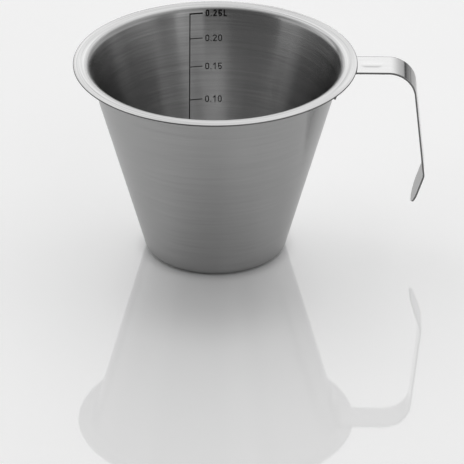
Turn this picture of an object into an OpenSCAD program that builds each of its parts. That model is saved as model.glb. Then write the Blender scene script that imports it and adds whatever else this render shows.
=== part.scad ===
// Conical steel measuring cup with a strip handle welded under its pouring rim.
// The origin is the centre of the ring it stands on, +Z is up and +X points to the handle.
// The scale is on the inside of the wall at +Y. All sizes are in millimetres and degrees.

/* [Cup] */
// Outer diameter of the pouring rim
rim_d = 99; // [84:0.5:120]
// Width of the rim, from its edge to where the wall's outer cone meets its upper face
rim_w = 5.05; // [3:0.05:9]
// Height of the rim's upper face above the table
cup_h = 71.4; // [58:0.1:90]
// Diameter of the wall's outer cone at the table
wall_base_d = 48.7; // [44:0.1:54]
// Thickness of the cup's sheet
sheet_t = 0.5; // [0.4:0.05:0.8]
// Radius of the turn from the wall to the rim, on the upper side
rim_turn_r = 2.5; // [1.5:0.1:3]

/* [Base] */
// Radius of the turn from the base to the wall, on the outside
base_turn_r = 3; // [1.5:0.1:5]
// Width of the flat ring that the cup stands on
foot_ring_w = 2; // [1:0.1:4]
// Height by which the middle of the base is pushed up
base_rise = 5; // [3:0.1:7]
// Slope of the pushed-up step, measured from the table
step_slope = 70; // [50:1:80]
// Radius of the step's upper and lower turns, on the underside
step_turn_r = 1.2; // [1:0.1:1.5]

/* [Handle] */
// Width of the handle's strip
strip_w = 13.2; // [10:0.1:18]
// Thickness of the handle's strip
strip_t = 0.6; // [0.5:0.05:0.8]
// Gap between the handle and the cup's wall and rim
seat_gap = 0.05; // [0.02:0.01:0.15]
// Length of the tab on the wall, from the corner of its fold
tab_len = 11.3; // [10:0.1:14]
// Radius of the tab's two lower corners
tab_corner_r = 1.5; // [0.5:0.1:3]
// How much wider the tab's fold is than the rim's turn above it
fold_ease = 0.4; // [0.1:0.1:1]
// Reach of the grip's upper corner beyond the rim
handle_reach = 19.6; // [17:0.1:30]
// Outer radius of the bend between the top run and the grip
bend_r = 9.9; // [6:0.1:11]
// Drop from the top run to the kink in the grip
grip_drop = 40.2; // [32:0.1:48]
// Outward lean of the grip, from upright
grip_lean = 6.1; // [0:0.1:12]
// Outer radius of the kink
kink_r = 4; // [2:0.1:8]
// Length of the lower end below the kink
tip_len = 13.1; // [11:0.1:18]
// Inward slant of the lower end, from upright
tip_slant = 18.6; // [8:0.1:30]

/* [Dimple] */
// Distance from the rim's edge to the middle of the dimple
dimple_out = 4.9; // [4.5:0.1:6]
// Length of the dimple
dimple_len = 7.4; // [5:0.1:8]
// Width of the dimple
dimple_w = 3.9; // [2.5:0.1:4.5]
// Depth of the dimple below the strip's upper face
dimple_depth = 0.12; // [0.1:0.02:0.4]

/* [Spot welds] */
// Diameter of a weld
weld_d = 3; // [2:0.1:3.4]
// Distance from the corner of the tab's fold to the upper weld
weld_first = 4.5; // [4:0.1:5]
// Distance between the two welds
weld_pitch = 3.8; // [3.6:0.1:4.2]
// Depth of the dent that the welding tip leaves in the tab
weld_dent = 0.12; // [0.05:0.01:0.25]

/* [Scale] */
// Drop from the rim's upper face to the top mark
top_mark_drop = 1.8; // [1.2:0.1:6]
// Height of the lowest mark above the table
first_mark_h = 25.8; // [20:0.1:34]
// Distance of the upright line from the middle of the cup, along X
line_x = -10; // [-14:0.1:-8]
// Width of the upright line
line_w = 0.35; // [0.2:0.05:0.6]
// Length of a tick, from the middle of the upright line
tick_len = 4.5; // [3:0.1:6]
// Line width of the plain ticks
tick_line = 0.3; // [0.2:0.02:0.4]
// Gap between a tick and its number
number_gap = 1; // [0.5:0.1:2]
// Height of a digit
digit_h = 2.25; // [1.8:0.05:2.6]
// Width of a digit
digit_w = 1.36; // [1.1:0.02:1.6]
// Space between two characters
digit_gap = 0.5; // [0.3:0.05:0.8]
// Line width of the plain numbers
digit_line = 0.32; // [0.2:0.02:0.4]
// Line width of the bold top tick and number
bold_line = 0.48; // [0.3:0.02:0.52]
// Thickness of the ink
ink_t = 0.06; // [0.03:0.01:0.1]

/* [Hidden] */
$fn = 128;
// Angle of one straight piece of a bent sheet's turn, and the widest side of a wedge
arc_step = 5;
wedge_step = 60;

weld_nodes = ["spot_weld_upper", "spot_weld_lower"];
tick_nodes = ["tick_050ml", "tick_100ml", "tick_150ml", "tick_200ml", "tick_250ml"];
number_nodes = ["number_050ml", "number_100ml", "number_150ml", "number_200ml", "number_250ml"];
labels = ["0.05", "0.10", "0.15", "0.20", "0.25L"];
last_mark = len(labels) - 1;

steel = [0.78, 0.78, 0.77];
weld_grey = [0.55, 0.55, 0.56];
ink_black = [0.06, 0.06, 0.06];

// Length from a corner to where an arc of radius r that turns by the angle a begins
function tangent_len(r, a) = r * tan(a / 2);

// Wall: an outer cone that leans outward by wall_lean
wall_slope = (rim_d / 2 - rim_w - wall_base_d / 2) / cup_h;
wall_lean = atan(wall_slope);
wall_turn = 90 - wall_lean;
function wall_outer_r(z) = wall_base_d / 2 + wall_slope * z;
function wall_inner_r(z) = wall_outer_r(z) - sheet_t / cos(wall_lean);

// Base: radii of the flat ring and of the step's corners
base_tangent = tangent_len(base_turn_r, wall_turn);
foot_outer_r = wall_base_d / 2 - base_tangent;
foot_inner_r = foot_outer_r - foot_ring_w;
step_tangent = tangent_len(step_turn_r, step_slope);
step_lower_r = foot_inner_r - step_tangent;
step_upper_r = step_lower_r - base_rise / tan(step_slope);

// Rim: the turn's radius and place on the underside
rim_under_r = rim_turn_r - sheet_t;
rim_under_z = cup_h - sheet_t;
rim_tangent = tangent_len(rim_under_r, wall_turn);

// The cup's underside from the axis to the foot of the wall, and its outside from there to the rim's edge.
// Each step of a path is a straight run, the turn after it (positive to the left) and the turn's radius.
base_path = [
    [step_upper_r - step_tangent, -step_slope, step_turn_r],
    [base_rise / sin(step_slope) - 2 * step_tangent, step_slope, step_turn_r],
    [foot_ring_w, wall_turn, base_turn_r]
];
wall_path = [
    [rim_under_z / cos(wall_lean) - base_tangent - rim_tangent, -wall_turn, rim_under_r],
    [rim_d / 2 - wall_outer_r(rim_under_z) - rim_tangent, 0, 0]
];
base_centre = [0, base_rise];
wall_foot = [wall_base_d / 2, 0] + base_tangent * [sin(wall_lean), cos(wall_lean)];

// Handle: corners of its outer line in the XZ plane
handle_top_z = rim_under_z - seat_gap;
fold_corner = [wall_outer_r(handle_top_z) + seat_gap / cos(wall_lean), handle_top_z];
bend_corner = [rim_d / 2 + handle_reach, handle_top_z];
kink_corner = bend_corner + grip_drop * [tan(grip_lean), -1];
tip_end = kink_corner - tip_len * [sin(tip_slant), cos(tip_slant)];
fold_r = rim_under_r + fold_ease;
kink_turn = grip_lean + tip_slant;
bend_turn = 90 - grip_lean;
kink_tangent = tangent_len(kink_r, kink_turn);
bend_tangent = tangent_len(bend_r, bend_turn);
fold_tangent = tangent_len(fold_r, wall_turn);

// The handle's outer line, from the tip up the grip and along the top run to the tab's lower edge
handle_path = [
    [tip_len - kink_tangent, kink_turn, kink_r],
    [grip_drop / cos(grip_lean) - kink_tangent - bend_tangent, bend_turn, bend_r],
    [bend_corner.x - fold_corner.x - bend_tangent - fold_tangent, wall_turn, fold_r],
    [tab_len - fold_tangent, 0, 0]
];

// Dimple: a ball of this radius sinks in by dimple_depth over the dimple's width
dimple_ball_r = (pow(dimple_w / 2, 2) + pow(dimple_depth, 2)) / (2 * dimple_depth);

// Scale: equal volumes lie between the marks. A cone's volume grows with the cube of its radius.
first_mark_cube = pow(wall_inner_r(first_mark_h), 3);
top_mark_cube = pow(wall_inner_r(cup_h - top_mark_drop), 3);
function mark_r(i) = pow(first_mark_cube + (top_mark_cube - first_mark_cube) * i / last_mark, 1 / 3);
function mark_z(i) = (mark_r(i) - wall_inner_r(0)) / wall_slope;
function tick_h(i) = i == last_mark ? bold_line : tick_line;
function char_advance(c) = (c == "." ? digit_line : digit_w) + digit_gap;
function char_x(label, i) = i == 0 ? 0 : char_x(label, i - 1) + char_advance(label[i - 1]);

// Characters: the drop of the flag on a 1, the width of an L and the angles where the bows of 2 and 5 end
one_flag_drop = 0.6;
letter_l_w = 1.15;
two_bow = [-35, 170];
five_bow = [-150, 135];

// Points of a path that starts at a place and heading, moved to the left by an offset
function path_points(path, offset, place, heading, i = 0) =
    let (
        run = path[i][0],
        turn = path[i][1],
        side = sign(turn),
        turn_r = path[i][2],
        arc_r = turn_r - side * offset,
        run_end = place + run * [cos(heading), sin(heading)],
        centre = run_end + side * turn_r * left_of(heading),
        pieces = ceil(abs(turn) / arc_step),
        arc = [for (k = [0:pieces]) centre - side * arc_r * left_of(heading + turn * k / max(pieces, 1))],
        bend = turn == 0 ? [run_end + offset * left_of(heading)] : arc,
        next = turn == 0 ? run_end : centre - side * turn_r * left_of(heading + turn)
    )
    i + 1 < len(path) ? concat(bend, path_points(path, offset, next, heading + turn, i + 1)) : bend;

function left_of(heading) = [-sin(heading), cos(heading)];

// Section of a bent sheet that lies between two offsets to the left of a path
module bent_sheet(path, near, far, place, heading) {
    near_side = concat([place + near * left_of(heading)], path_points(path, near, place, heading));
    far_side = concat([place + far * left_of(heading)], path_points(path, far, place, heading));
    last = len(far_side) - 1;
    polygon(concat(near_side, [for (k = [0:last]) far_side[last - k]]));
}

// Sector of a flat ring between two radii and two angles, cut out by a wedge that reaches well past it
module ring_sector(r_in, r_out, from, to) {
    wedge_r = 2 * r_out;
    pieces = ceil((to - from) / wedge_step);
    wedge = [for (k = [0:pieces]) let (a = from + (to - from) * k / pieces) wedge_r * [cos(a), sin(a)]];
    intersection() {
        difference() {
            circle(r_out);
            circle(r_in);
        }
        polygon(concat([[0, 0]], wedge));
    }
}

// Puts its children at a weld: their XY plane is the wall's outside and +Z points out of it
module at_weld(i) {
    along = weld_first + i * weld_pitch;
    foot = fold_corner - along * [sin(wall_lean), cos(wall_lean)];
    wall_point = foot - seat_gap * [cos(wall_lean), -sin(wall_lean)];
    translate([wall_point.x, 0, wall_point.y]) rotate([0, 90 + wall_lean, 0]) children();
}

// Bore for a weld, through the tab and half way into the wall
module weld_pocket(i) {
    at_weld(i) translate([0, 0, -sheet_t / 2]) cylinder(d = weld_d, h = sheet_t / 2 + seat_gap + 2 * strip_t);
}

// What a strip's square end loses when its corners are rounded; the strip runs along X and ends at 0
module end_corners(corner_r) {
    difference() {
        translate([-corner_r, -strip_w, -2 * strip_t]) cube([2 * corner_r, 2 * strip_w, 4 * strip_t]);
        for (side = [-1, 1])
            translate([-corner_r, side * (strip_w / 2 - corner_r), -3 * strip_t])
                cylinder(r = corner_r, h = 6 * strip_t);
        if (corner_r < strip_w / 2)
            translate([-2 * corner_r, corner_r - strip_w / 2, -3 * strip_t])
                cube([2 * corner_r, strip_w - 2 * corner_r, 6 * strip_t]);
    }
}

// Oblong bowl whose lowest point is at the height z
module dimple_bowl(z) {
    half_run = (dimple_len - dimple_w) / 2;
    translate([rim_d / 2 + dimple_out, 0, z + dimple_ball_r]) {
        for (side = [-1, 1]) translate([side * half_run, 0, 0]) sphere(dimple_ball_r);
        translate([-half_run, 0, 0]) rotate([0, 90, 0]) cylinder(r = dimple_ball_r, h = 2 * half_run);
    }
}

module cup() {
    color(steel) difference() {
        rotate_extrude() bent_sheet(concat(base_path, wall_path), 0, sheet_t, base_centre, 0);
        for (i = [0:1]) weld_pocket(i);
    }
}

module strip() {
    rotate([90, 0, 0]) linear_extrude(strip_w, center = true)
        bent_sheet(handle_path, 0, strip_t, tip_end, 90 - tip_slant);
}

module handle() {
    tab_end = fold_corner - tab_len * [sin(wall_lean), cos(wall_lean)];
    dimple_z = handle_top_z - dimple_depth;
    color(steel) difference() {
        union() {
            strip();
            intersection() {
                dimple_bowl(dimple_z - strip_t);
                translate([rim_d / 2, -strip_w / 2, dimple_z - 2 * strip_t])
                    cube([handle_reach, strip_w, 2 * strip_t + dimple_depth - strip_t / 2]);
            }
        }
        dimple_bowl(dimple_z);
        translate([tip_end.x, 0, tip_end.y]) rotate([0, 90 + tip_slant, 0]) end_corners(strip_w / 2);
        translate([tab_end.x, 0, tab_end.y]) rotate([0, 90 + wall_lean, 0]) end_corners(tab_corner_r);
        for (i = [0:1]) weld_pocket(i);
    }
}

module spot_weld(i) {
    color(weld_grey) at_weld(i)
        translate([0, 0, -sheet_t / 2]) cylinder(d = weld_d, h = sheet_t / 2 + seat_gap + strip_t - weld_dent);
}

// Prints a flat drawing on the inside of the wall at +Y, straight along Y
module print_on_wall() {
    color(ink_black) intersection() {
        rotate_extrude() bent_sheet(wall_path, sheet_t, sheet_t + ink_t, wall_foot, wall_turn);
        translate([0, rim_d / 2, 0]) rotate([90, 0, 0]) linear_extrude(rim_d / 2) children();
    }
}

module scale_line() {
    print_on_wall()
        translate([line_x - line_w / 2, mark_z(0) - tick_h(0) / 2])
            square([line_w, mark_z(last_mark) - mark_z(0) + (tick_h(0) + tick_h(last_mark)) / 2]);
}

module tick(i) {
    print_on_wall()
        translate([line_x + line_w / 2, mark_z(i) - tick_h(i) / 2])
            square([tick_len - line_w / 2, tick_h(i)]);
}

// Straight stroke with square ends between two points
module stroke(from, to, w) {
    run = to - from;
    translate(from) rotate(atan2(run.y, run.x)) translate([0, -w / 2]) square([norm(run), w]);
}

// Upright slot shape, as wide as w and as high as h
module slot_shape(w, h) {
    for (y = [w / 2, h - w / 2]) translate([w / 2, y]) circle(d = w);
    translate([0, w / 2]) square([w, h - w]);
}

module digit_zero(w) {
    difference() {
        slot_shape(digit_w, digit_h);
        translate([w, w]) slot_shape(digit_w - 2 * w, digit_h - 2 * w);
    }
}

module digit_one(w) {
    stem_x = (digit_w + w) / 2;
    translate([stem_x - w / 2, 0]) square([w, digit_h]);
    stroke([w / 2, digit_h - w / 2 - one_flag_drop], [stem_x, digit_h - w / 2], w);
}

module digit_two(w) {
    bow_r = digit_w / 2;
    bow_centre = [bow_r, digit_h - bow_r];
    translate(bow_centre) ring_sector(bow_r - w, bow_r, two_bow[0], two_bow[1]);
    stroke([w / 2, w / 2], bow_centre + (bow_r - w / 2) * [cos(two_bow[0]), sin(two_bow[0])], w);
    square([digit_w, w]);
}

module digit_five(w) {
    bow_r = digit_w / 2;
    translate([bow_r, bow_r]) ring_sector(bow_r - w, bow_r, five_bow[0], five_bow[1]);
    translate([0, bow_r]) square([w, digit_h - bow_r]);
    translate([0, digit_h - w]) square([digit_w, w]);
}

module letter_l(w) {
    square([w, digit_h]);
    square([letter_l_w, w]);
}

module character(c, w) {
    if (c == "0") digit_zero(w);
    if (c == "1") digit_one(w);
    if (c == "2") digit_two(w);
    if (c == "5") digit_five(w);
    if (c == "L") letter_l(w);
    if (c == ".") square([digit_line, w]);
}

module number(i) {
    label = labels[i];
    w = i == last_mark ? bold_line : digit_line;
    print_on_wall()
        translate([line_x + tick_len + number_gap, mark_z(i) - digit_h / 2])
            for (k = [0:len(label) - 1]) translate([char_x(label, k), 0]) character(label[k], w);
}

cup();
handle();
for (i = [0:1]) spot_weld(i);
scale_line();
for (i = [0:last_mark]) tick(i);
for (i = [0:last_mark]) number(i);
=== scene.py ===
"""Looks of a steel measuring cup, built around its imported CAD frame.

Each operator makes one piece or one group of like pieces from the sizes in the sidebar panel.
All sizes are in metres and radians. The cup stands on the XY plane with its axis on Z, its
handle points along +X and its scale is on the inside of the wall at +Y.
"""

import math
from typing import NamedTuple

import bpy
from bpy.props import FloatProperty, FloatVectorProperty, IntProperty, PointerProperty
from bpy.types import Operator, Panel, PropertyGroup
from mathutils import Matrix, Vector


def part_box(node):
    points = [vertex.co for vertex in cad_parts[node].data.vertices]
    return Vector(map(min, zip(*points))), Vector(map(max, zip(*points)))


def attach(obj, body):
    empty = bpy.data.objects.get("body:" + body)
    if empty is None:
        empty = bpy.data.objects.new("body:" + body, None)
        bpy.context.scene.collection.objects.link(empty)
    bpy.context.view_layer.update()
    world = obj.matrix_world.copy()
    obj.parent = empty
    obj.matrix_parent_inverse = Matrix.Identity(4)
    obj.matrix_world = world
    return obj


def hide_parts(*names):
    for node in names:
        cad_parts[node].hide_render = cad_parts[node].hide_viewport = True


bl_info = {
    "name": "Measuring Cup",
    "version": (1, 0, 0),
    "blender": (4, 5, 0),
    "location": "3D View > Sidebar > Measuring Cup",
    "description": "Builds a brushed steel measuring cup with a strip handle on its CAD frame",
    "category": "Add Mesh",
}

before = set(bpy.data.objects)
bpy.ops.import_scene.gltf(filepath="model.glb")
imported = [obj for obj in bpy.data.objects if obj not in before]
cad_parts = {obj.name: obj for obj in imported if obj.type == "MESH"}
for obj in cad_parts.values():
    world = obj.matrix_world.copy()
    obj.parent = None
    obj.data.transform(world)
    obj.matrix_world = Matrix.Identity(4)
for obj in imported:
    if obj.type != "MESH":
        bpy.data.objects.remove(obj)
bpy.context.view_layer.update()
CUP_LOW, CUP_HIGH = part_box("cup")
HANDLE_LOW, HANDLE_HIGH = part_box("handle")

MM = 0.001
UV_NAME = "BrushMap"
EDGE_NAME = "CutEdge"
STREAK_NAME = "StreakDepth"
# A point mark of painted shade: 0.5 leaves the steel's colour as it is, lower paints it darker
SHADE_TONE_NAME = "PaintedShadeTone"
UNSHADED_TONE = 0.5
NOISE_LOW = 0.3
NOISE_HIGH = 0.7
INK_NODES = [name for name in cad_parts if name.startswith(("scale_", "tick_", "number_"))]
WELD_NODES = ["spot_weld_upper", "spot_weld_lower"]


def length(name, description, default):
    """A size in metres."""
    return FloatProperty(
        name=name, description=description, default=default, unit="LENGTH", precision=5
    )


def angle(name, description, degrees):
    """An angle, given in degrees and kept in radians."""
    return FloatProperty(
        name=name, description=description, default=math.radians(degrees), unit="ROTATION"
    )


def share(name, description, default):
    """A plain number from 0 to 1."""
    return FloatProperty(
        name=name, description=description, default=default, min=0, max=1, subtype="FACTOR"
    )


def amount(name, description, default):
    """A plain number from 0 up."""
    return FloatProperty(name=name, description=description, default=default, min=0)


def grey(name, description, default):
    """A colour in linear light."""
    return FloatVectorProperty(
        name=name, description=description, default=default, size=3, min=0, max=1, subtype="COLOR"
    )


def light(name, description, default):
    """The strength of a light, where 1 shows a white sheet as white."""
    return amount(name, description, default)


class CupSizes(PropertyGroup):
    """Sizes of the drawn sheet that makes the base, the wall and the rim."""

    rim_d: length("Rim diameter", "Outer diameter of the pouring rim", CUP_HIGH.y - CUP_LOW.y)
    rim_w: length("Rim width", "From the rim's edge to where the wall's cone meets its top", 5.05 * MM)
    cup_h: length("Height", "Height of the rim's upper face", CUP_HIGH.z)
    wall_base_d: length("Base diameter", "Diameter of the wall's outer cone at the table", 48.7 * MM)
    sheet_t: length("Sheet", "Thickness of the sheet", 0.5 * MM)
    rim_turn_r: length("Rim turn", "Radius of the turn from the wall to the rim, upper side", 2.5 * MM)
    base_turn_r: length("Base turn", "Radius of the turn from the base to the wall, outside", 3 * MM)
    foot_ring_w: length("Foot ring", "Width of the flat ring that the cup stands on", 2 * MM)
    base_rise: length("Base rise", "Height by which the middle of the base is pushed up", 5 * MM)
    step_slope: angle("Step slope", "Slope of the pushed-up step, from the table", 70)
    step_turn_r: length("Step turn", "Radius of the step's turns, on the underside", 1.2 * MM)
    sides: IntProperty(name="Sides", description="Straight sides of a full turn", default=256, min=48)


class HandleSizes(PropertyGroup):
    """Sizes of the bent strip, its dimple and its two spot welds."""

    strip_w: length("Width", "Width of the strip", HANDLE_HIGH.y - HANDLE_LOW.y)
    strip_t: length("Thickness", "Thickness of the strip", 0.6 * MM)
    edge_r: length("Edge radius", "Radius of the strip's worn edges", 0.14 * MM)
    seat_gap: length("Seat gap", "Gap between the strip and the cup", 0.05 * MM)
    tab_len: length("Tab", "Length of the tab on the wall, from the corner of its fold", 11.3 * MM)
    tab_corner_r: length("Tab corners", "Radius of the tab's lower corners", 1.5 * MM)
    fold_ease: length("Fold ease", "How much wider the tab's fold is than the rim's turn", 0.4 * MM)
    reach: length("Reach", "Reach of the grip's upper corner beyond the rim", 19.6 * MM)
    bend_r: length("Bend", "Outer radius of the bend above the grip", 9.9 * MM)
    grip_drop: length("Grip drop", "Drop from the top run to the kink", 40.2 * MM)
    grip_lean: angle("Grip lean", "Outward lean of the grip, from upright", 6.1)
    kink_r: length("Kink", "Outer radius of the kink", 4 * MM)
    tip_len: length("Tip", "Length of the lower end below the kink", 13.1 * MM)
    tip_slant: angle("Tip slant", "Inward slant of the lower end, from upright", 18.6)
    dimple_out: length("Dimple place", "From the rim's edge to the middle of the dimple", 4.9 * MM)
    dimple_len: length("Dimple length", "Length of the dimple", 7.4 * MM)
    dimple_w: length("Dimple width", "Width of the dimple", 3.9 * MM)
    dimple_depth: length("Dimple depth", "Depth of the dimple below the strip's upper face", 0.12 * MM)
    dimple_lip: length("Dimple lip", "Width over which the dimple's edge is rounded", 0.8 * MM)
    weld_d: length("Weld", "Diameter of a spot weld", 3 * MM)
    weld_first: length("First weld", "From the corner of the tab's fold to the upper weld", 4.5 * MM)
    weld_pitch: length("Weld pitch", "Distance between the two welds", 3.8 * MM)
    weld_dent: length("Weld dent", "Depth of the dent in a weld's middle", 0.12 * MM)
    grid: length("Grid", "Spacing of the strip's mesh", 0.25 * MM)


class FinishSettings(PropertyGroup):
    """Colours and gloss of the steel and the ink."""

    cup_grey: grey("Cup steel", "Colour of the cup's brushed steel", (0.45, 0.45, 0.45))
    cup_glance: share("Cup glance", "How bright the cup's steel stays at a glancing view", 0.92)
    cup_roughness: share("Cup roughness", "Roughness of the cup's steel", 0.24)
    cup_brush: share("Cup brush", "How far the cup's gloss is drawn out across its lines", 0.93)
    cup_pitch: length("Cup line pitch", "Spacing of the cup's brush lines", 0.6 * MM)
    cup_reach: share("Cup line reach", "Length of the cup's brush lines, in turns", 0.12)
    outside_streaks: amount("Outside streaks", "Depth of the streaks outside the cup", 0.5)
    inside_streaks: amount("Inside streaks", "Depth of the streaks inside the cup", 1.0)
    rim_streaks: amount("Rim streaks", "Depth of the streaks on top of the rim", 1.8)
    # Painted shade: the cup's outside is drawn about a tenth darker than the inside of the same sheet
    outside_painted_shade: share("Outside tone", "Tone of the cup's outside, 0.5 is as inside", 0.34)
    handle_grey: grey("Handle steel", "Colour of the handle's steel", (0.53, 0.53, 0.53))
    handle_glance: share("Handle glance", "How bright the handle stays at a glancing view", 0.68)
    handle_roughness: share("Handle roughness", "Roughness of the handle's steel", 0.09)
    handle_brush: share("Handle brush", "How far its gloss is drawn out across its lines", 0.45)
    handle_pitch: length("Handle line pitch", "Spacing of the handle's brush lines", 0.4 * MM)
    handle_reach: length("Handle line reach", "Length of the handle's brush lines", 14 * MM)
    handle_streaks: amount("Handle streaks", "Depth of the streaks on the handle", 0.25)
    # Painted shade: the dark line along the sheet's and the strip's cut edges; their higher roughness is
    # the edges' own
    edge_painted_shade_grey: grey("Cut edge", "Colour of the sheet's and the strip's edges", (0.2, 0.2, 0.2))
    edge_roughness: share("Edge roughness", "Roughness of the cut edges", 0.45)
    weld_grey: grey("Weld", "Colour of a weld's middle", (0.36, 0.35, 0.34))
    weld_tint: grey("Weld tint", "Heat tint round a weld", (0.46, 0.42, 0.36))
    ink_black: grey("Ink", "Colour of the printed scale", (0.006, 0.006, 0.006))


class StageSettings(PropertyGroup):
    """The floor, the light and the camera."""

    floor_grey: grey("Floor", "Colour of the glossy floor", (0.97, 0.97, 0.97))
    floor_gloss: share("Floor roughness", "Roughness of the floor's gloss", 0.03)
    floor_r: length("Floor radius", "Radius of the round floor", 3)
    floor_ior: FloatProperty(
        name="Floor IOR", description="Sets how much the floor mirrors", default=1.5, min=1
    )
    floor_glow: light("Floor glow", "How much the floor shines by itself", 0.165)
    # Painted shadow: the floor's glow is dimmed round a point in front of the cup and cut away under the
    # cup, where its shadow falls
    painted_shadow_front: length("Dim middle", "How far in front of the cup the floor's glow is least", 40 * MM)
    painted_shadow_glow: share("Least glow", "Share of the floor's glow that its dim middle keeps", 0.45)
    painted_shadow_near: length("Glow start", "From the dim middle to where the glow grows", 6 * MM)
    painted_shadow_far: length("Glow end", "From the dim middle to where the glow is full", 42 * MM)
    painted_contact_shadow_near: length("Shade", "From the cup's axis to where the floor starts to glow", 22 * MM)
    painted_contact_shadow_far: length("Shade end", "From the cup's axis to where its shade ends", 30 * MM)
    room_light: light("Room", "Light from all round", 0.12)
    card_light: light("Back card", "Light of the low card behind the cup", 0.26)
    hem_light: light("Sheet's hem", "Light of the swept sheet's lower end", 0.88)
    back_light: light("Sheet's back", "Light of the swept sheet behind the cup", 1.62)
    top_light: light("Sheet's top", "Light of the swept sheet above the cup", 0.96)
    side_light: light("Side panel", "Light of the high panel on the camera's right", 0.24)
    left_light: light("Left panel", "Light of the tall panel on the left", 0.6)
    right_light: light("Right card", "Light of the wide card on the handle's side", 0.56)
    strip_light: light("Strip", "Light of the narrow upright strip on the camera's right", 0.43)
    fringe_light: light("Strip's fringe", "Light of the strip's soft right side", 0.27)
    lamp_light: light("Lamp", "Light of the soft lamp above the strip", 0.4)
    wing_light: light("Wing", "Light of the soft panel between the left panel and the sheet", 0.26)
    view_azimuth: angle("View azimuth", "How far the camera stands to the handle's side", 1.2)
    view_elevation: angle("View elevation", "Height of the camera above the horizon", 27.888)
    view_distance: length("View distance", "From the camera to the point it looks at", 1.78923)
    view_aim: FloatVectorProperty(
        name="View aim",
        description="Point that the camera looks at",
        default=(5.807 * MM, 0.122 * MM, 4.472 * MM),
        size=3,
        subtype="TRANSLATION",
    )
    view_lens: FloatProperty(
        name="Lens", description="Focal length on a 36 mm sensor", default=392.33, unit="CAMERA"
    )


class MeasuringCupSettings(PropertyGroup):
    """Everything that a user may change."""

    cup: PointerProperty(type=CupSizes)
    handle: PointerProperty(type=HandleSizes)
    finish: PointerProperty(type=FinishSettings)
    stage: PointerProperty(type=StageSettings)


class LightPanel(NamedTuple):
    """A soft-edged patch of light, by the directions in which the cup sees it, in degrees.

    A panel stands upright: its middle is an azimuth, 0 straight behind the cup and growing towards
    the handle, and low and high are elevations. A band of the sheet that sweeps from behind the cup
    over it has its middle straight over the cup's plane of sight, and low and high are climbs from the
    horizon behind the cup over the top towards the camera."""

    setting: str
    swept: bool
    middle: float
    half_width: float
    side_soft: float
    low: float
    low_soft: float
    high: float
    high_soft: float


# Setting, swept or not, middle, then half width, low edge and high edge, each with its softness
PANELS = (
    LightPanel("card_light", True, 0, 40, 10, -30, 2, 4.5, 2),
    LightPanel("hem_light", True, 0, 29, 28, 9.5, 2, 20, 14),
    LightPanel("back_light", True, 0, 21, 36, 20, 14, 50, 24),
    LightPanel("top_light", True, 0, 36, 28, 50, 24, 84, 50),
    LightPanel("side_light", False, 102, 28, 8, 40, 24, 78, 12),
    LightPanel("left_light", False, 277, 37, 3, 4, 8, 46, 30),
    LightPanel("right_light", False, 80, 44, 24, 0, 8, 36, 28),
    LightPanel("strip_light", False, 155, 13, 2, -2, 4, 42, 6),
    LightPanel("fringe_light", False, 141, 9, 14, -2, 4, 42, 6),
    LightPanel("lamp_light", False, 150, 20, 2, 42, 6, 70, 6),
    LightPanel("wing_light", False, 318, 22, 24, 0, 10, 46, 30),
)


# Bent sheets


def along(heading):
    return Vector((math.cos(heading), math.sin(heading)))


def left_of(heading):
    return Vector((-math.sin(heading), math.cos(heading)))


def tangent_len(radius, turn):
    """From a corner to where an arc that turns there begins."""
    return radius * math.tan(turn / 2)


class BentLine:
    """The edge view of a bent sheet: straight runs joined by round turns, in one plane."""

    def __init__(self, start, heading, steps):
        """Each step is a straight run, the turn after it (to the left if positive) and its radius."""
        self.spans = []
        self.length = 0.0
        place = Vector(start)
        for run, turn, radius in steps:
            self._add(place, heading, run, 0.0, 0.0)
            place = place + run * along(heading)
            if turn:
                self._add(place, heading, radius * abs(turn), turn, radius)
                pivot = math.copysign(radius, turn)
                centre = place + pivot * left_of(heading)
                heading += turn
                place = centre - pivot * left_of(heading)

    def _add(self, place, heading, span_len, turn, radius):
        self.spans.append((self.length, place, heading, span_len, turn, radius))
        self.length += span_len

    def at(self, s):
        """The point and the heading at a length along the line."""
        start, place, heading, span_len, turn, radius = next(
            (span for span in self.spans if s <= span[0] + span[3]), self.spans[-1]
        )
        gone = s - start
        if not turn:
            return place + gone * along(heading), heading
        pivot = math.copysign(radius, turn)
        centre = place + pivot * left_of(heading)
        heading += turn * gone / span_len
        return centre - pivot * left_of(heading), heading

    def stations(self, run_step, turn_step):
        """Lengths along the line at which a smooth mesh has its points."""
        marks = [0.0]
        for start, _, _, span_len, turn, _ in self.spans:
            pieces = math.ceil(abs(turn) / turn_step) if turn else math.ceil(span_len / run_step)
            marks += [start + span_len * k / pieces for k in range(1, pieces + 1)]
        return marks


def wall_slope(cup):
    """How far the wall leans out for each unit of height."""
    return (cup.rim_d / 2 - cup.rim_w - cup.wall_base_d / 2) / cup.cup_h


def cup_line(cup):
    """The cup's underside and outside, from the axis to the rim's rounded edge."""
    slope = wall_slope(cup)
    lean = math.atan(slope)
    wall_turn = math.pi / 2 - lean
    base_tangent = tangent_len(cup.base_turn_r, wall_turn)
    step_tangent = tangent_len(cup.step_turn_r, cup.step_slope)
    foot_inner_r = cup.wall_base_d / 2 - base_tangent - cup.foot_ring_w
    step_upper_r = foot_inner_r - step_tangent - cup.base_rise / math.tan(cup.step_slope)
    step_run = cup.base_rise / math.sin(cup.step_slope) - 2 * step_tangent
    under_z = cup.cup_h - cup.sheet_t
    under_r = cup.rim_turn_r - cup.sheet_t
    rim_tangent = tangent_len(under_r, wall_turn)
    rim_corner_r = cup.wall_base_d / 2 + slope * under_z
    rim_run = cup.rim_d / 2 - cup.sheet_t / 2 - rim_corner_r - rim_tangent
    return BentLine(
        (0, cup.base_rise),
        0.0,
        [
            (step_upper_r - step_tangent, -cup.step_slope, cup.step_turn_r),
            (step_run, cup.step_slope, cup.step_turn_r),
            (cup.foot_ring_w, wall_turn, cup.base_turn_r),
            (under_z / math.cos(lean) - base_tangent - rim_tangent, -wall_turn, under_r),
            (rim_run, 0.0, 0.0),
        ],
    )


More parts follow.
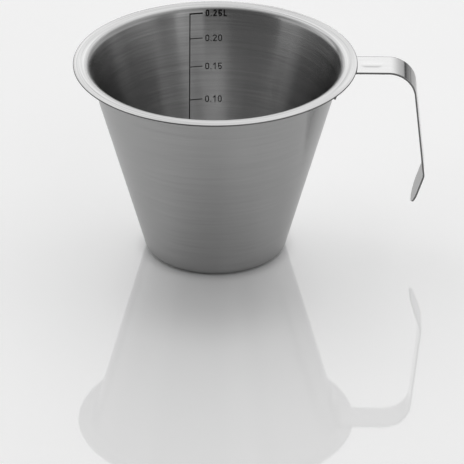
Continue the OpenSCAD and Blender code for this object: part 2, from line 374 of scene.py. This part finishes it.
class HandlePlan:
    """Corners, bends and marked places of the handle's outer line, from the tip to the tab's end."""

    TOP_SPAN = 4
    TAB_SPAN = 6

    def __init__(self, cup, handle):
        slope = wall_slope(cup)
        lean = math.atan(slope)
        wall_turn = math.pi / 2 - lean
        top_z = cup.cup_h - cup.sheet_t - handle.seat_gap
        fold_r = cup.rim_turn_r - cup.sheet_t + handle.fold_ease
        fold_x = cup.wall_base_d / 2 + slope * top_z + handle.seat_gap / math.cos(lean)
        bend_x = cup.rim_d / 2 + handle.reach
        kink_x = bend_x + handle.grip_drop * math.tan(handle.grip_lean)
        kink = Vector((kink_x, top_z - handle.grip_drop))
        kink_turn = handle.grip_lean + handle.tip_slant
        bend_turn = math.pi / 2 - handle.grip_lean
        kink_tangent = tangent_len(handle.kink_r, kink_turn)
        bend_tangent = tangent_len(handle.bend_r, bend_turn)
        fold_tangent = tangent_len(fold_r, wall_turn)
        grip_len = handle.grip_drop / math.cos(handle.grip_lean)
        tip_heading = math.pi / 2 - handle.tip_slant
        self.line = BentLine(
            kink - handle.tip_len * along(tip_heading),
            tip_heading,
            [
                (handle.tip_len - kink_tangent, kink_turn, handle.kink_r),
                (grip_len - kink_tangent - bend_tangent, bend_turn, handle.bend_r),
                (bend_x - fold_x - bend_tangent - fold_tangent, wall_turn, fold_r),
                (handle.tab_len - fold_tangent, 0.0, 0.0),
            ],
        )
        top_start = self.line.spans[self.TOP_SPAN][0]
        tab_start = self.line.spans[self.TAB_SPAN][0]
        self.dimple_s = top_start + bend_x - bend_tangent - (cup.rim_d / 2 + handle.dimple_out)
        first_weld = tab_start + handle.weld_first - fold_tangent
        self.weld_s = [first_weld + k * handle.weld_pitch for k in range(len(WELD_NODES))]


# Meshes


def new_piece(name, verts, faces, uvs, normals=None):
    """A smooth mesh object with a map whose U runs across the brush lines and V along them.

    uvs holds one pair for each face corner, in the order of the faces."""
    mesh = bpy.data.meshes.new(name)
    mesh.from_pydata(verts, [], faces)
    layer = mesh.uv_layers.new(name=UV_NAME)
    layer.data.foreach_set("uv", [value for pair in uvs for value in pair])
    mesh.shade_smooth()
    if normals:
        mesh.normals_split_custom_set_from_vertices(normals)
    mesh.validate()
    piece = bpy.data.objects.new(name, mesh)
    bpy.context.scene.collection.objects.link(piece)
    return piece


def mark_points(piece, name, values):
    """Gives each point of a mesh a number that its material reads."""
    piece.data.attributes.new(name, "FLOAT", "POINT").data.foreach_set("value", values)


def turned_piece(name, section, sides, marks=None):
    """A solid of revolution about Z, from section points (radius, height, normal's radius and height).

    The section runs from the axis to the axis, with the solid on its left. marks holds, by name, one
    number for each section point."""
    lengths = [0.0]
    for before, after in zip(section, section[1:]):
        lengths.append(lengths[-1] + math.dist(before[:2], after[:2]))
    verts, normals, rings = [], [], []
    for radius, height, out, up in section:
        count = sides if radius > 1e-9 else 1
        rings.append(list(range(len(verts), len(verts) + count)))
        for k in range(count):
            turn = 2 * math.pi * k / sides
            verts.append((radius * math.cos(turn), radius * math.sin(turn), height))
            normals.append((out * math.cos(turn), out * math.sin(turn), up))
    faces, uvs = [], []
    for i, (low, high) in enumerate(zip(rings, rings[1:])):
        for k in range(sides):
            corners = [(low, k, i), (low, k + 1, i), (high, k + 1, i + 1), (high, k, i + 1)]
            if len(low) == 1:
                corners.pop(0)
            if len(high) == 1:
                corners.pop()
            faces.append([ring[step % len(ring)] for ring, step, _ in corners])
            uvs += [(lengths[row], step / sides) for _, step, row in corners]
    piece = new_piece(name, verts, faces, uvs, normals)
    for mark, values in (marks or {}).items():
        mark_points(piece, mark, [value for value, ring in zip(values, rings) for _ in ring])
    return piece


class CupSection:
    """The cup's section: underside and outside, round edge, then back along the inside."""

    RUN_STEP = 1.5 * MM
    TURN_STEP = math.radians(4)
    EDGE_STEPS = 12
    RIM_TURN_SPAN = 7

    def __init__(self, cup, finish):
        line = cup_line(cup)
        stations = line.stations(self.RUN_STEP, self.TURN_STEP)
        outside, inside = [], []
        for s in stations:
            place, heading = line.at(s)
            left = left_of(heading)
            far = place + cup.sheet_t * left
            outside.append((place.x, place.y, -left.x, -left.y))
            inside.append((far.x, far.y, left.x, left.y))
        edge = self._edge(line, cup.sheet_t / 2)
        self.points = outside + edge + inside[::-1]
        rim_s = line.spans[self.RIM_TURN_SPAN][0]
        upper = [finish.rim_streaks if s >= rim_s else finish.inside_streaks for s in stations]
        lower = [finish.outside_streaks] * len(outside)
        self.marks = {
            EDGE_NAME: [0.0] * len(outside) + [1.0] * len(edge) + [0.0] * len(inside),
            STREAK_NAME: lower + [finish.inside_streaks] * len(edge) + upper[::-1],
            # Painted shade: the outside's points carry a darker tone than the edge and the inside
            SHADE_TONE_NAME: [finish.outside_painted_shade] * len(outside) + [UNSHADED_TONE] * (len(edge) + len(inside)),
        }

    def _edge(self, line, edge_r):
        """The rim's rounded edge, between the outside's last point and the inside's."""
        end, heading = line.at(line.length)
        left = left_of(heading)
        centre = end + edge_r * left
        points = []
        for k in range(1, self.EDGE_STEPS):
            turn = math.pi * k / self.EDGE_STEPS
            out = -math.cos(turn) * left + math.sin(turn) * along(heading)
            rounded = centre + edge_r * out
            points.append((rounded.x, rounded.y, out.x, out.y))
        return points


def smooth_fall(distance, near, far):
    """1 up to near, 0 from far on, and a smooth slope between."""
    t = min(max((distance - near) / (far - near), 0.0), 1.0)
    return 1 - t * t * (3 - 2 * t)


class StripMesh:
    """The handle's strip as a mesh: two gridded faces and a rounded edge all round."""

    EDGE_STEPS = 6
    TIP_STEPS = 24
    CORNER_STEPS = 10
    HOLLOW_IN = 0.92
    HOLLOW_OUT = 1.12

    def __init__(self, plan, handle):
        self.plan = plan
        self.handle = handle
        self.half = handle.strip_w / 2
        self.columns = self._columns()
        self.rows = 2 * math.ceil(self.half / handle.grid)

    def _columns(self):
        """Places along the strip, each as what its half width follows there and a value."""
        corner_r = self.handle.tab_corner_r
        straight = self.plan.line.length - self.half - corner_r
        tip = [("tip", math.pi / 2 * k / self.TIP_STEPS) for k in range(self.TIP_STEPS)]
        count = math.ceil(straight / self.handle.grid)
        middle = [("run", self.half + straight * k / count) for k in range(count)]
        turn_step = math.pi / 2 / self.CORNER_STEPS
        corner = [("tab", turn_step * k) for k in range(self.CORNER_STEPS + 1)]
        return tip + middle + corner

    def flat_place(self, column, row, inset):
        """A point of the flat strip whose outline is drawn in by inset: (along, across)."""
        kind, value = self.columns[column]
        corner_r = self.handle.tab_corner_r
        if kind == "tip":
            s = self.half - (self.half - inset) * math.cos(value)
            half = (self.half - inset) * math.sin(value)
        elif kind == "run":
            s = value
            half = self.half - inset
        else:
            s = self.plan.line.length - corner_r + (corner_r - inset) * math.sin(value)
            half = self.half - corner_r + (corner_r - inset) * math.cos(value)
        return s, half * (2 * row / self.rows - 1)

    def bent_place(self, s, y, depth):
        """A point of the bent strip, at a depth below its outer line."""
        place, heading = self.plan.line.at(s)
        place = place + depth * left_of(heading)
        return place.x, y, place.y

    def dimple(self, s, y):
        """Depth of the pressed dimple: a shallow bowl whose edge is rounded off."""
        handle = self.handle
        half_w = handle.dimple_w / 2
        half_run = (handle.dimple_len - handle.dimple_w) / 2
        off = max(abs(s - self.plan.dimple_s) - half_run, 0.0)
        bowl = handle.dimple_depth * (1 - (math.hypot(off, y) / half_w) ** 2)
        ease = handle.dimple_depth * handle.dimple_lip / half_w
        return (bowl + math.sqrt(bowl * bowl + ease * ease)) / 2 if bowl > -4 * ease else 0.0

    def weld_hollow(self, s, y):
        """Depth of the hollow in the tab that a weld lies in."""
        weld_r = self.handle.weld_d / 2
        near = min(math.hypot(s - weld_s, y) for weld_s in self.plan.weld_s)
        fall = smooth_fall(near, self.HOLLOW_IN * weld_r, self.HOLLOW_OUT * weld_r)
        return 2 * self.handle.weld_dent * fall

    def make(self, name, streaks):
        """The mesh object, with brush streaks of one depth all over."""
        handle = self.handle
        last = len(self.columns) - 1
        thick, edge_r = handle.strip_t, handle.edge_r
        verts, uv_of = [], []

        def add(column, row, inset, depth):
            s, y = self.flat_place(column, row, inset)
            verts.append(self.bent_place(s, y, depth))
            uv_of.append((y + math.copysign(depth, y), s))
            return len(verts) - 1

        def face_grid(side_depth, lift):
            """Vertex numbers of one face, column by column; the tip's point is its first column."""
            grid = []
            for column in range(last + 1):
                rows = [self.rows // 2] if column == 0 else range(self.rows + 1)
                made = []
                for row in rows:
                    s, y = self.flat_place(column, row, edge_r)
                    made.append(add(column, row, edge_r, side_depth + lift(s, y)))
                grid.append(made)
            return grid

        outer = face_grid(0.0, self.dimple)
        inner = face_grid(thick, lambda s, y: self.dimple(s, y) - self.weld_hollow(s, y))
        face_count = len(verts)
        border = [(0, self.rows // 2)]
        border += [(column, 0) for column in range(1, last + 1)]
        border += [(last, row) for row in range(1, self.rows)]
        border += [(column, self.rows) for column in range(last, 0, -1)]

        def border_of(grid):
            return [grid[column][0 if column == 0 else row] for column, row in border]

        turns = [math.pi / 2 * k / self.EDGE_STEPS for k in range(1, self.EDGE_STEPS)]
        profile = [(edge_r * (1 - math.sin(turn)), edge_r * (1 - math.cos(turn))) for turn in turns]
        profile += [(0.0, edge_r), (0.0, thick - edge_r)]
        for turn in turns:
            profile.append((edge_r * (1 - math.cos(turn)), thick - edge_r * (1 - math.sin(turn))))
        loops = [border_of(outer)]
        for inset, depth in profile:
            loops.append([add(column, row, inset, depth) for column, row in border])
        loops.append(border_of(inner))

        faces = []
        for grid, flip in ((outer, False), (inner, True)):
            for left, right in zip(grid, grid[1:]):
                for row in range(self.rows):
                    corners = [right[row], right[row + 1]]
                    corners += [left[row + 1], left[row]] if len(left) > 1 else left
                    faces.append(corners[::-1] if flip else corners)
        for upper, lower in zip(loops, loops[1:]):
            for k in range(len(border)):
                after = (k + 1) % len(border)
                faces.append([upper[k], upper[after], lower[after], lower[k]])
        uvs = [uv_of[corner] for face in faces for corner in face]
        piece = new_piece(name, verts, faces, uvs)
        mark_points(piece, EDGE_NAME, [0.0] * face_count + [1.0] * (len(verts) - face_count))
        mark_points(piece, STREAK_NAME, [streaks] * len(verts))
        mark_points(piece, SHADE_TONE_NAME, [UNSHADED_TONE] * len(verts))
        return piece


def weld_section(cup, handle):
    """A weld's button: a dished top with a low lip, and a straight side down into the wall."""
    top_steps, lip_place, lip_reach = 20, 0.86, 0.3
    weld_r = handle.weld_d / 2
    foot = -cup.sheet_t / 2
    middle = handle.seat_gap + handle.strip_t - handle.weld_dent
    lip = handle.weld_dent / 2
    section = [(0, foot, 0, -1), (weld_r, foot, 0, -1)]
    section += [(weld_r, foot, 1, 0), (weld_r, middle + lip / 2, 1, 0)]
    for k in range(top_steps + 1):
        part = 1 - k / top_steps
        rise = lip * smooth_fall(abs(part - lip_place), 0.0, lip_reach)
        section.append((weld_r * part, middle + rise, 0, 1))
    return section


# Materials


def add_node(tree, kind, inputs=None, **settings):
    """A shader node with its settings and its unlinked inputs."""
    made = tree.nodes.new(kind)
    for key, value in settings.items():
        setattr(made, key, value)
    for key, value in (inputs or {}).items():
        made.inputs[key].default_value = value
    return made


def math_node(tree, operation, value, by=None):
    """One sum on a socket, by a number."""
    made = add_node(tree, "ShaderNodeMath", operation=operation)
    tree.links.new(value, made.inputs[0])
    if by is not None:
        made.inputs[1].default_value = by
    return made.outputs[0]


def joined(tree, operation, first, *others):
    """One sum over several sockets."""
    for other in others:
        made = add_node(tree, "ShaderNodeMath", operation=operation)
        tree.links.new(first, made.inputs[0])
        tree.links.new(other, made.inputs[1])
        first = made.outputs[0]
    return first


def point_mark(tree, name):
    """The number that each point of the mesh carries under a name."""
    return add_node(tree, "ShaderNodeAttribute", attribute_name=name).outputs["Fac"]


def object_noise(tree, place, scale, detail):
    """A cloudy value about 0.5, fixed to the object."""
    noise = add_node(tree, "ShaderNodeTexNoise", {"Scale": scale, "Detail": detail})
    tree.links.new(place, noise.inputs["Vector"])
    return noise.outputs[0]


def spread(tree, value, low, high):
    """Maps the middle of a noise to a range."""
    limits = {"From Min": NOISE_LOW, "From Max": NOISE_HIGH, "To Min": low, "To Max": high}
    made = add_node(tree, "ShaderNodeMapRange", limits, clamp=True)
    tree.links.new(value, made.inputs["Value"])
    return made.outputs[0]


def smooth_step(tree, value, start, end, before, after):
    """Goes smoothly from one number to another while a socket goes from start to end."""
    limits = {"From Min": start, "From Max": end, "To Min": before, "To Max": after}
    made = add_node(tree, "ShaderNodeMapRange", limits, interpolation_type="SMOOTHSTEP")
    tree.links.new(value, made.inputs["Value"])
    return made.outputs[0]


def two_tones(tree, factor, first, second):
    """A colour between two others, by a socket from 0 to 1."""
    made = add_node(tree, "ShaderNodeMix", data_type="RGBA")
    made.inputs["A"].default_value = (*first, 1)
    made.inputs["B"].default_value = (*second, 1)
    tree.links.new(factor, made.inputs["Factor"])
    return made.outputs["Result"]


def shaded(colour, by):
    """A colour made darker or lighter, up to white."""
    return [min(by * part, 1.0) for part in colour]


def add_relief(tree, shader, height, strength, distance):
    """Gives a surface a fine relief from a socket."""
    bump = add_node(tree, "ShaderNodeBump", {"Strength": strength, "Distance": distance})
    tree.links.new(height, bump.inputs["Height"])
    tree.links.new(bump.outputs[0], shader.inputs["Normal"])


def new_material(name):
    """A material with its node tree and its shader."""
    material = bpy.data.materials.new(name)
    material.use_nodes = True
    return material, material.node_tree, material.node_tree.nodes["Principled BSDF"]


class BrushLines(NamedTuple):
    """Spacing and length of brush lines. Closed ones run round a turn and are measured in turns."""

    pitch: float
    reach: float
    closed: bool


def brush_noise(tree, lines, detail):
    """A streaky value about 0.5: it changes once every pitch across the lines and reach along them."""
    brush_map = add_node(tree, "ShaderNodeUVMap", uv_map=UV_NAME)
    parts = add_node(tree, "ShaderNodeSeparateXYZ")
    place = add_node(tree, "ShaderNodeCombineXYZ")
    tree.links.new(brush_map.outputs[0], parts.inputs[0])
    tree.links.new(math_node(tree, "DIVIDE", parts.outputs["X"], lines.pitch), place.inputs["X"])
    if lines.closed:
        turn = math_node(tree, "MULTIPLY", parts.outputs["Y"], 2 * math.pi)
        for axis, wave in (("Y", "COSINE"), ("Z", "SINE")):
            swing = math_node(tree, "DIVIDE", math_node(tree, wave, turn), 2 * math.pi * lines.reach)
            tree.links.new(swing, place.inputs[axis])
    else:
        tree.links.new(math_node(tree, "DIVIDE", parts.outputs["Y"], lines.reach), place.inputs["Y"])
    noise = add_node(tree, "ShaderNodeTexNoise", {"Scale": 1.0, "Detail": detail, "Roughness": 0.6})
    tree.links.new(place.outputs[0], noise.inputs["Vector"])
    return noise.outputs[0]


def brushed_steel(name, lines, finish, colour, glance, roughness, brush):
    """Steel with fine brush lines: they streak its colour, its gloss and its surface.

    Its cut edges are duller than its faces, and their darker colour is painted shade. A point mark also
    paints shade on the cup's outside."""
    fine_detail, broad_detail = 1.5, 1.0
    broad_pitch, broad_reach, broad_share = 5, 2, 0.2
    darkest, brightest = 0.7, 1.3
    smoothest, roughest = 0.92, 1.08
    relief, relief_depth = 0.12, 0.01 * MM
    material, tree, shader = new_material(name)
    fine = brush_noise(tree, lines, fine_detail)
    wide = BrushLines(broad_pitch * lines.pitch, broad_reach * lines.reach, lines.closed)
    broad = brush_noise(tree, wide, broad_detail)
    both = add_node(tree, "ShaderNodeMix", {"Factor": broad_share}, data_type="FLOAT")
    tree.links.new(fine, both.inputs["A"])
    tree.links.new(broad, both.inputs["B"])
    streak = both.outputs["Result"]
    # The tone adds the brush streaks to the painted shade that darkens the cup's outside
    tone = add_node(tree, "ShaderNodeMath", operation="MULTIPLY_ADD")
    tree.links.new(math_node(tree, "SUBTRACT", streak, 0.5), tone.inputs[0])
    tree.links.new(point_mark(tree, STREAK_NAME), tone.inputs[1])
    tree.links.new(point_mark(tree, SHADE_TONE_NAME), tone.inputs[2])
    edge = point_mark(tree, EDGE_NAME)
    # Painted shade on the cut edges: their colour is mixed towards a dark grey; the roughness mix below
    # is their own dullness
    tint = add_node(tree, "ShaderNodeMix", data_type="RGBA")
    tint.inputs["B"].default_value = (*finish.edge_painted_shade_grey, 1)
    tree.links.new(edge, tint.inputs["Factor"])
    faces = two_tones(tree, tone.outputs[0], shaded(colour, darkest), shaded(colour, brightest))
    tree.links.new(faces, tint.inputs["A"])
    tree.links.new(tint.outputs["Result"], shader.inputs["Base Color"])
    gloss = add_node(tree, "ShaderNodeMix", {"B": finish.edge_roughness}, data_type="FLOAT")
    tree.links.new(edge, gloss.inputs["Factor"])
    sheen = spread(tree, streak, smoothest * roughness, roughest * roughness)
    tree.links.new(sheen, gloss.inputs["A"])
    tree.links.new(gloss.outputs["Result"], shader.inputs["Roughness"])
    add_relief(tree, shader, fine, relief, relief_depth)
    tangent = add_node(tree, "ShaderNodeTangent", direction_type="UV_MAP", uv_map=UV_NAME)
    tree.links.new(tangent.outputs[0], shader.inputs["Tangent"])
    shader.inputs["Metallic"].default_value = 1.0
    shader.inputs["Anisotropic"].default_value = brush
    shader.inputs["Specular Tint"].default_value = (glance, glance, glance, 1)
    return material


def weld_steel(name, colour, tint_colour, weld_d):
    """Dull fused steel with a heat tint near its edge."""
    tint_start, tint_full = 0.45, 0.85
    grain_scale, grain_detail = 4000.0, 3.0
    material, tree, shader = new_material(name)
    place = add_node(tree, "ShaderNodeTexCoord").outputs["Object"]
    flat = add_node(tree, "ShaderNodeVectorMath", operation="MULTIPLY")
    flat.inputs[1].default_value = (2 / weld_d, 2 / weld_d, 0)
    far = add_node(tree, "ShaderNodeVectorMath", operation="LENGTH")
    tree.links.new(place, flat.inputs[0])
    tree.links.new(flat.outputs[0], far.inputs[0])
    ring = smooth_step(tree, far.outputs["Value"], tint_start, tint_full, 0.0, 1.0)
    tree.links.new(two_tones(tree, ring, colour, tint_colour), shader.inputs["Base Color"])
    grain = object_noise(tree, place, grain_scale, grain_detail)
    tree.links.new(spread(tree, grain, 0.38, 0.55), shader.inputs["Roughness"])
    add_relief(tree, shader, grain, 0.4, 0.02 * MM)
    shader.inputs["Metallic"].default_value = 1.0
    return material


def printed_ink(name, colour):
    """Black ink with an uneven film."""
    film_scale, film_detail = 2500.0, 4.0
    material, tree, shader = new_material(name)
    place = add_node(tree, "ShaderNodeTexCoord").outputs["Object"]
    film = object_noise(tree, place, film_scale, film_detail)
    tint = two_tones(tree, spread(tree, film, 0.0, 1.0), colour, shaded(colour, 2))
    tree.links.new(tint, shader.inputs["Base Color"])
    tree.links.new(spread(tree, film, 0.42, 0.6), shader.inputs["Roughness"])
    add_relief(tree, shader, film, 0.2, 0.01 * MM)
    shader.inputs["Specular IOR Level"].default_value = 0.2
    return material


def glossy_floor(name, stage):
    """A pale glossy sheet with a faint unevenness.

    It glows a little for the camera and in what mirrors it, fully farther off. The glow is cut away
    under the cup and dimmed in front of it: a painted shadow of the cup. The glow lights nothing."""
    cloud_scale, cloud_detail = 9.0, 3.0
    darkest, brightest = 0.985, 1.015
    colour = stage.floor_grey
    material, tree, shader = new_material(name)
    place = add_node(tree, "ShaderNodeTexCoord").outputs["Object"]
    cloud = spread(tree, object_noise(tree, place, cloud_scale, cloud_detail), 0.0, 1.0)
    tint = two_tones(tree, cloud, shaded(colour, darkest), shaded(colour, brightest))
    tree.links.new(tint, shader.inputs["Base Color"])
    shader.inputs["Roughness"].default_value = stage.floor_gloss
    shader.inputs["IOR"].default_value = stage.floor_ior
    path = add_node(tree, "ShaderNodeLightPath").outputs
    seen = joined(
        tree, "MAXIMUM", path["Is Camera Ray"], path["Is Glossy Ray"], path["Is Transmission Ray"]
    )
    glow = math_node(tree, "MULTIPLY", seen, stage.floor_glow)
    # Painted shadow: first a dim patch in front of the cup, then a cut under the cup
    for front, near, full, least in (
        (stage.painted_shadow_front, stage.painted_shadow_near, stage.painted_shadow_far, stage.painted_shadow_glow),
        (0, stage.painted_contact_shadow_near, stage.painted_contact_shadow_far, 0),
    ):
        far = add_node(tree, "ShaderNodeVectorMath", operation="DISTANCE")
        far.inputs[1].default_value = (0, -front, 0)
        tree.links.new(place, far.inputs[0])
        painted_shadow_mask = smooth_step(tree, far.outputs["Value"], near, full, least, 1.0)
        glow = joined(tree, "MULTIPLY", glow, painted_shadow_mask)
    tree.links.new(glow, shader.inputs["Emission Strength"])
    shader.inputs["Emission Color"].default_value = (1, 1, 1, 1)
    return material


def soft_step(tree, value, edge, soft, before, after):
    """Goes from one number to another, across an edge of a given softness in degrees."""
    start = math.radians(edge - soft / 2)
    end = math.radians(edge + soft / 2)
    return smooth_step(tree, value, start, end, before, after)


def panel_light(tree, panel, across, up, strength):
    """The light of one panel in the direction that is looked at, from its angles in radians."""
    turned = add_node(tree, "ShaderNodeMath", {1: math.pi, 2: -math.pi}, operation="WRAP")
    tree.links.new(math_node(tree, "SUBTRACT", across, math.radians(panel.middle)), turned.inputs[0])
    aside = math_node(tree, "ABSOLUTE", turned.outputs[0])
    return joined(
        tree,
        "MULTIPLY",
        soft_step(tree, aside, panel.half_width, panel.side_soft, strength, 0.0),
        soft_step(tree, up, panel.low, panel.low_soft, 0.0, 1.0),
        soft_step(tree, up, panel.high, panel.high_soft, 1.0, 0.0),
    )


# Operators


class MEASURINGCUP_OT_cup(Operator):
    """Make the drawn cup: base, wall and rim"""

    bl_idname = "measuringcup.cup"
    bl_label = "Cup"

    def execute(self, context):
        settings = context.scene.measuring_cup
        cup, finish = settings.cup, settings.finish
        section = CupSection(cup, finish)
        piece = turned_piece("Cup", section.points, cup.sides, section.marks)
        steel = brushed_steel(
            "CupSteel",
            BrushLines(finish.cup_pitch, finish.cup_reach, True),
            finish,
            colour=finish.cup_grey,
            glance=finish.cup_glance,
            roughness=finish.cup_roughness,
            brush=finish.cup_brush,
        )
        piece.data.materials.append(steel)
        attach(piece, "root")
        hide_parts("cup")
        return {"FINISHED"}


class MEASURINGCUP_OT_handle(Operator):
    """Make the strip handle with its dimple, round tip and tab"""

    bl_idname = "measuringcup.handle"
    bl_label = "Handle"

    def execute(self, context):
        settings = context.scene.measuring_cup
        handle, finish = settings.handle, settings.finish
        strip = StripMesh(HandlePlan(settings.cup, handle), handle)
        piece = strip.make("Handle", finish.handle_streaks)
        steel = brushed_steel(
            "HandleSteel",
            BrushLines(finish.handle_pitch, finish.handle_reach, False),
            finish,
            colour=finish.handle_grey,
            glance=finish.handle_glance,
            roughness=finish.handle_roughness,
            brush=finish.handle_brush,
        )
        piece.data.materials.append(steel)
        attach(piece, "root")
        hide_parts("handle")
        return {"FINISHED"}


class MEASURINGCUP_OT_spot_welds(Operator):
    """Make the two spot welds that hold the tab"""

    bl_idname = "measuringcup.spot_welds"
    bl_label = "Spot welds"
    SIDES = 64

    def execute(self, context):
        settings = context.scene.measuring_cup
        cup, handle, finish = settings.cup, settings.handle, settings.finish
        plan = HandlePlan(cup, handle)
        steel = weld_steel("WeldSteel", finish.weld_grey, finish.weld_tint, handle.weld_d)
        section = weld_section(cup, handle)
        for node, weld_s in zip(WELD_NODES, plan.weld_s):
            piece = turned_piece(node.title().replace("_", ""), section, self.SIDES)
            piece.data.materials.append(steel)
            place, heading = plan.line.at(weld_s)
            out = left_of(heading)
            foot = place - handle.seat_gap * out
            tilt = Vector((0, 0, 1)).rotation_difference(Vector((out.x, 0, out.y)))
            piece.matrix_world = Matrix.Translation((foot.x, 0, foot.y)) @ tilt.to_matrix().to_4x4()
            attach(piece, "root")
            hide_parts(node)
        return {"FINISHED"}


class MEASURINGCUP_OT_scale(Operator):
    """Ink the printed scale: its line, ticks and numbers keep their CAD shapes"""

    bl_idname = "measuringcup.scale"
    bl_label = "Scale"

    def execute(self, context):
        ink = printed_ink("ScaleInk", context.scene.measuring_cup.finish.ink_black)
        for name in INK_NODES:
            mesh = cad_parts[name].data
            mesh.materials.clear()
            mesh.materials.append(ink)
        return {"FINISHED"}


class MEASURINGCUP_OT_stage(Operator):
    """Set up the floor, the light and the camera"""

    bl_idname = "measuringcup.stage"
    bl_label = "Stage"

    def execute(self, context):
        scene = context.scene
        stage = scene.measuring_cup.stage
        scene.view_settings.view_transform = "Standard"
        self.make_floor(scene, stage)
        self.make_light(scene, stage)
        self.make_camera(scene, stage)
        return {"FINISHED"}

    def make_floor(self, scene, stage):
        mesh = bpy.data.meshes.new("Floor")
        sides = 96
        turns = [2 * math.pi * k / sides for k in range(sides)]
        corners = [(stage.floor_r * math.cos(turn), stage.floor_r * math.sin(turn), 0) for turn in turns]
        mesh.from_pydata(corners, [], [list(range(sides))])
        mesh.materials.append(glossy_floor("FloorSheet", stage))
        floor = bpy.data.objects.new("Floor", mesh)
        scene.collection.objects.link(floor)

    def make_light(self, scene, stage):
        world = bpy.data.worlds.new("Studio")
        world.use_nodes = True
        tree = world.node_tree
        ray = add_node(tree, "ShaderNodeTexCoord")
        parts = add_node(tree, "ShaderNodeSeparateXYZ")
        tree.links.new(ray.outputs["Generated"], parts.inputs[0])
        azimuth = add_node(tree, "ShaderNodeMath", operation="ARCTAN2")
        climb = add_node(tree, "ShaderNodeMath", operation="ARCTAN2")
        for made, axis in ((azimuth, "X"), (climb, "Z")):
            tree.links.new(parts.outputs[axis], made.inputs[0])
            tree.links.new(parts.outputs["Y"], made.inputs[1])
        upright = (azimuth.outputs[0], math_node(tree, "ARCSINE", parts.outputs["Z"]))
        swept = (math_node(tree, "ARCSINE", parts.outputs["X"]), climb.outputs[0])
        total = add_node(tree, "ShaderNodeValue").outputs[0]
        total.default_value = stage.room_light
        for panel in PANELS:
            angles = swept if panel.swept else upright
            shine = panel_light(tree, panel, *angles, getattr(stage, panel.setting))
            total = joined(tree, "ADD", total, shine)
        background = tree.nodes["Background"]
        background.inputs["Color"].default_value = (1, 1, 1, 1)
        tree.links.new(total, background.inputs["Strength"])
        scene.world = world

    def make_camera(self, scene, stage):
        data = bpy.data.cameras.new("Camera")
        data.lens = stage.view_lens
        camera = bpy.data.objects.new("Camera", data)
        back = Vector(
            (
                math.sin(stage.view_azimuth) * math.cos(stage.view_elevation),
                -math.cos(stage.view_azimuth) * math.cos(stage.view_elevation),
                math.sin(stage.view_elevation),
            )
        )
        camera.location = Vector(stage.view_aim) + stage.view_distance * back
        camera.rotation_euler = (-back).to_track_quat("-Z", "Y").to_euler()
        scene.collection.objects.link(camera)
        scene.camera = camera


PIECE_OPERATORS = (
    MEASURINGCUP_OT_cup,
    MEASURINGCUP_OT_handle,
    MEASURINGCUP_OT_spot_welds,
    MEASURINGCUP_OT_scale,
    MEASURINGCUP_OT_stage,
)


class MEASURINGCUP_PT_panel(Panel):
    """Lists the operators and the settings"""

    bl_idname = "MEASURINGCUP_PT_panel"
    bl_label = "Measuring Cup"
    bl_space_type = "VIEW_3D"
    bl_region_type = "UI"
    bl_category = "Measuring Cup"

    def draw(self, context):
        settings = context.scene.measuring_cup
        for operator in PIECE_OPERATORS:
            self.layout.operator(operator.bl_idname)
        for group in (settings.cup, settings.handle, settings.finish, settings.stage):
            box = self.layout.box()
            for name in group.__annotations__:
                box.prop(group, name)


CLASSES = (
    CupSizes,
    HandleSizes,
    FinishSettings,
    StageSettings,
    MeasuringCupSettings,
    *PIECE_OPERATORS,
    MEASURINGCUP_PT_panel,
)


def register():
    for cls in CLASSES:
        bpy.utils.register_class(cls)
    bpy.types.Scene.measuring_cup = PointerProperty(type=MeasuringCupSettings)


def unregister():
    del bpy.types.Scene.measuring_cup
    for cls in reversed(CLASSES):
        bpy.utils.unregister_class(cls)


def main():
    register()
    bpy.ops.measuringcup.cup()
    bpy.ops.measuringcup.handle()
    bpy.ops.measuringcup.spot_welds()
    bpy.ops.measuringcup.scale()
    bpy.ops.measuringcup.stage()


if __name__ == "__main__":
    main()
